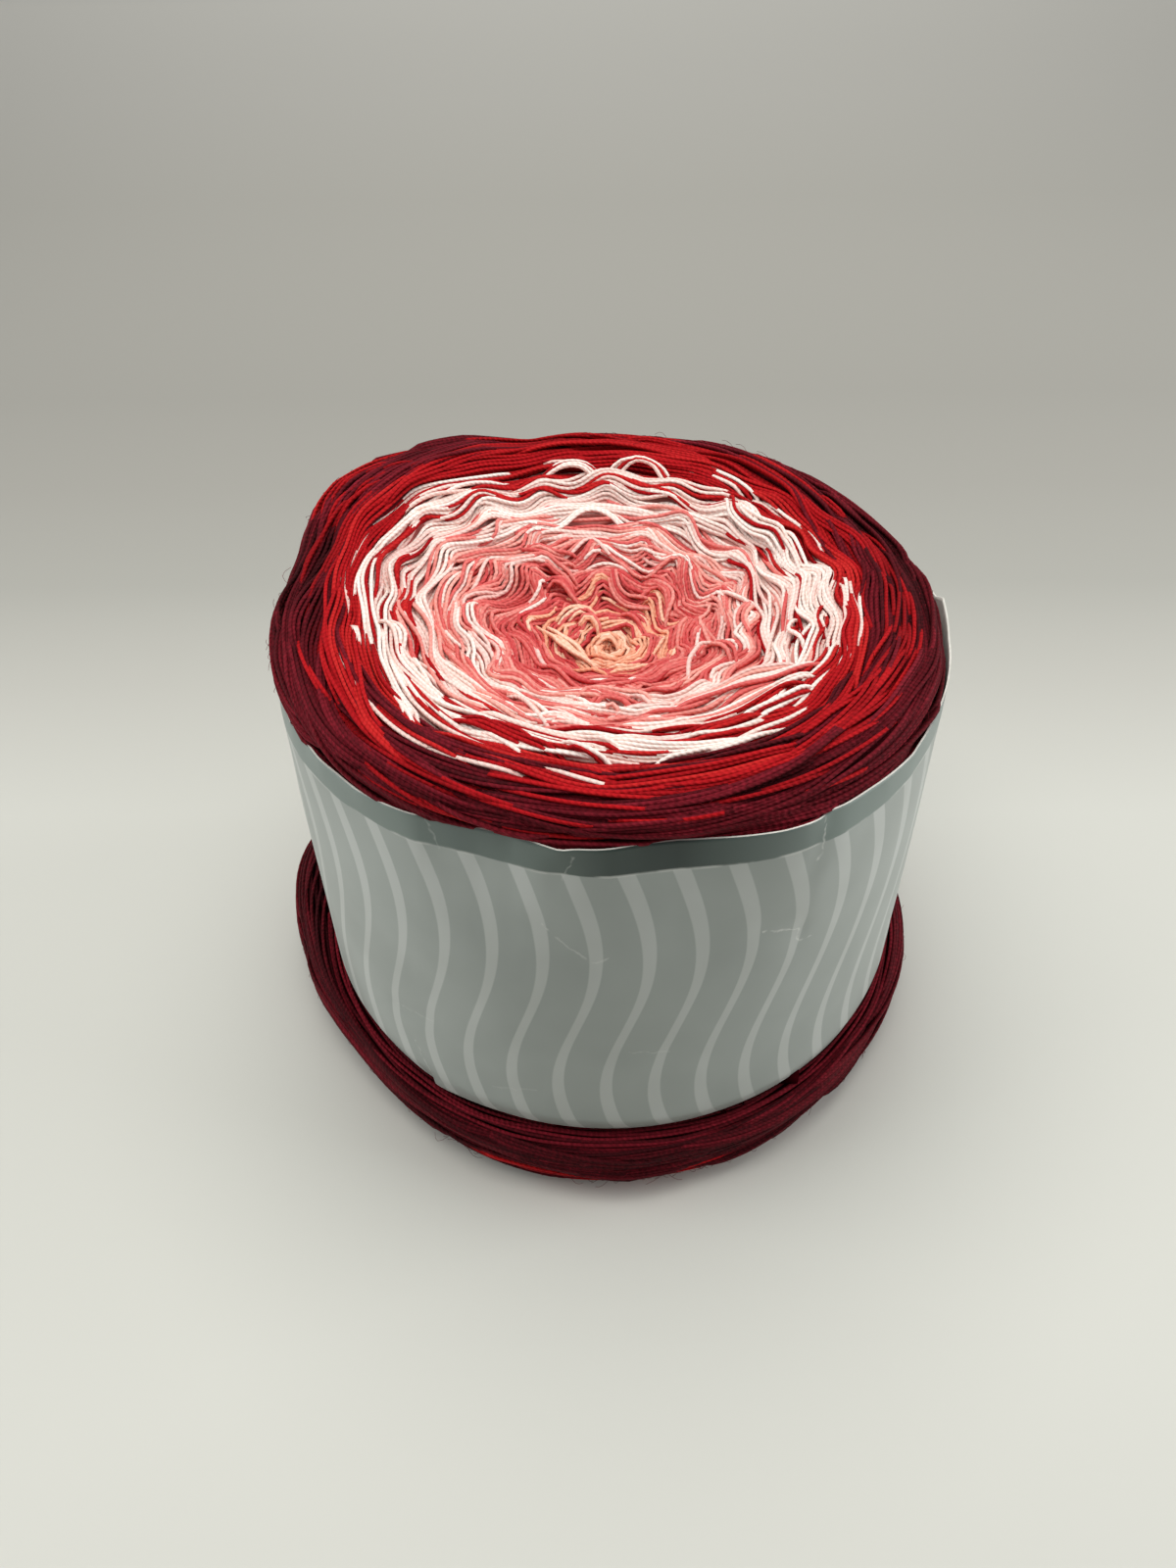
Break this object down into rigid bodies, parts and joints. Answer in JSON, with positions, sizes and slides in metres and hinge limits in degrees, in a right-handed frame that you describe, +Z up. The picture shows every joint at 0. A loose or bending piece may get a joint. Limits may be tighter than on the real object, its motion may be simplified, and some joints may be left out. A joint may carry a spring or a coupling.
{
  "type": "yarn cake",
  "caption": "Round cake of fine ombre yarn standing on one end, sunken in the middle, with a plain paper band round its wall and a skirt of yarn below it.",
  "frame": {"origin": "middle of the object's outline seen from above, on the floor that it stands on", "axes": "+Z up along the cake's winding axis, -Y towards the viewer of the picture, +X to the viewer's right"},
  "size_m": [0.1458, 0.138, 0.1105],
  "materials": {
    "yarn": "soft spun cotton-blend yarn, dark burgundy outside through red, white and pink to peach in the middle",
    "paper": "satin coated paper, cool grey with paler wavy stripes and a darker grey-green edge"
  },
  "bodies": {
    "root": {"yarn_cake": "yarn", "paper_band": "paper"}
  },
  "joints": []
}
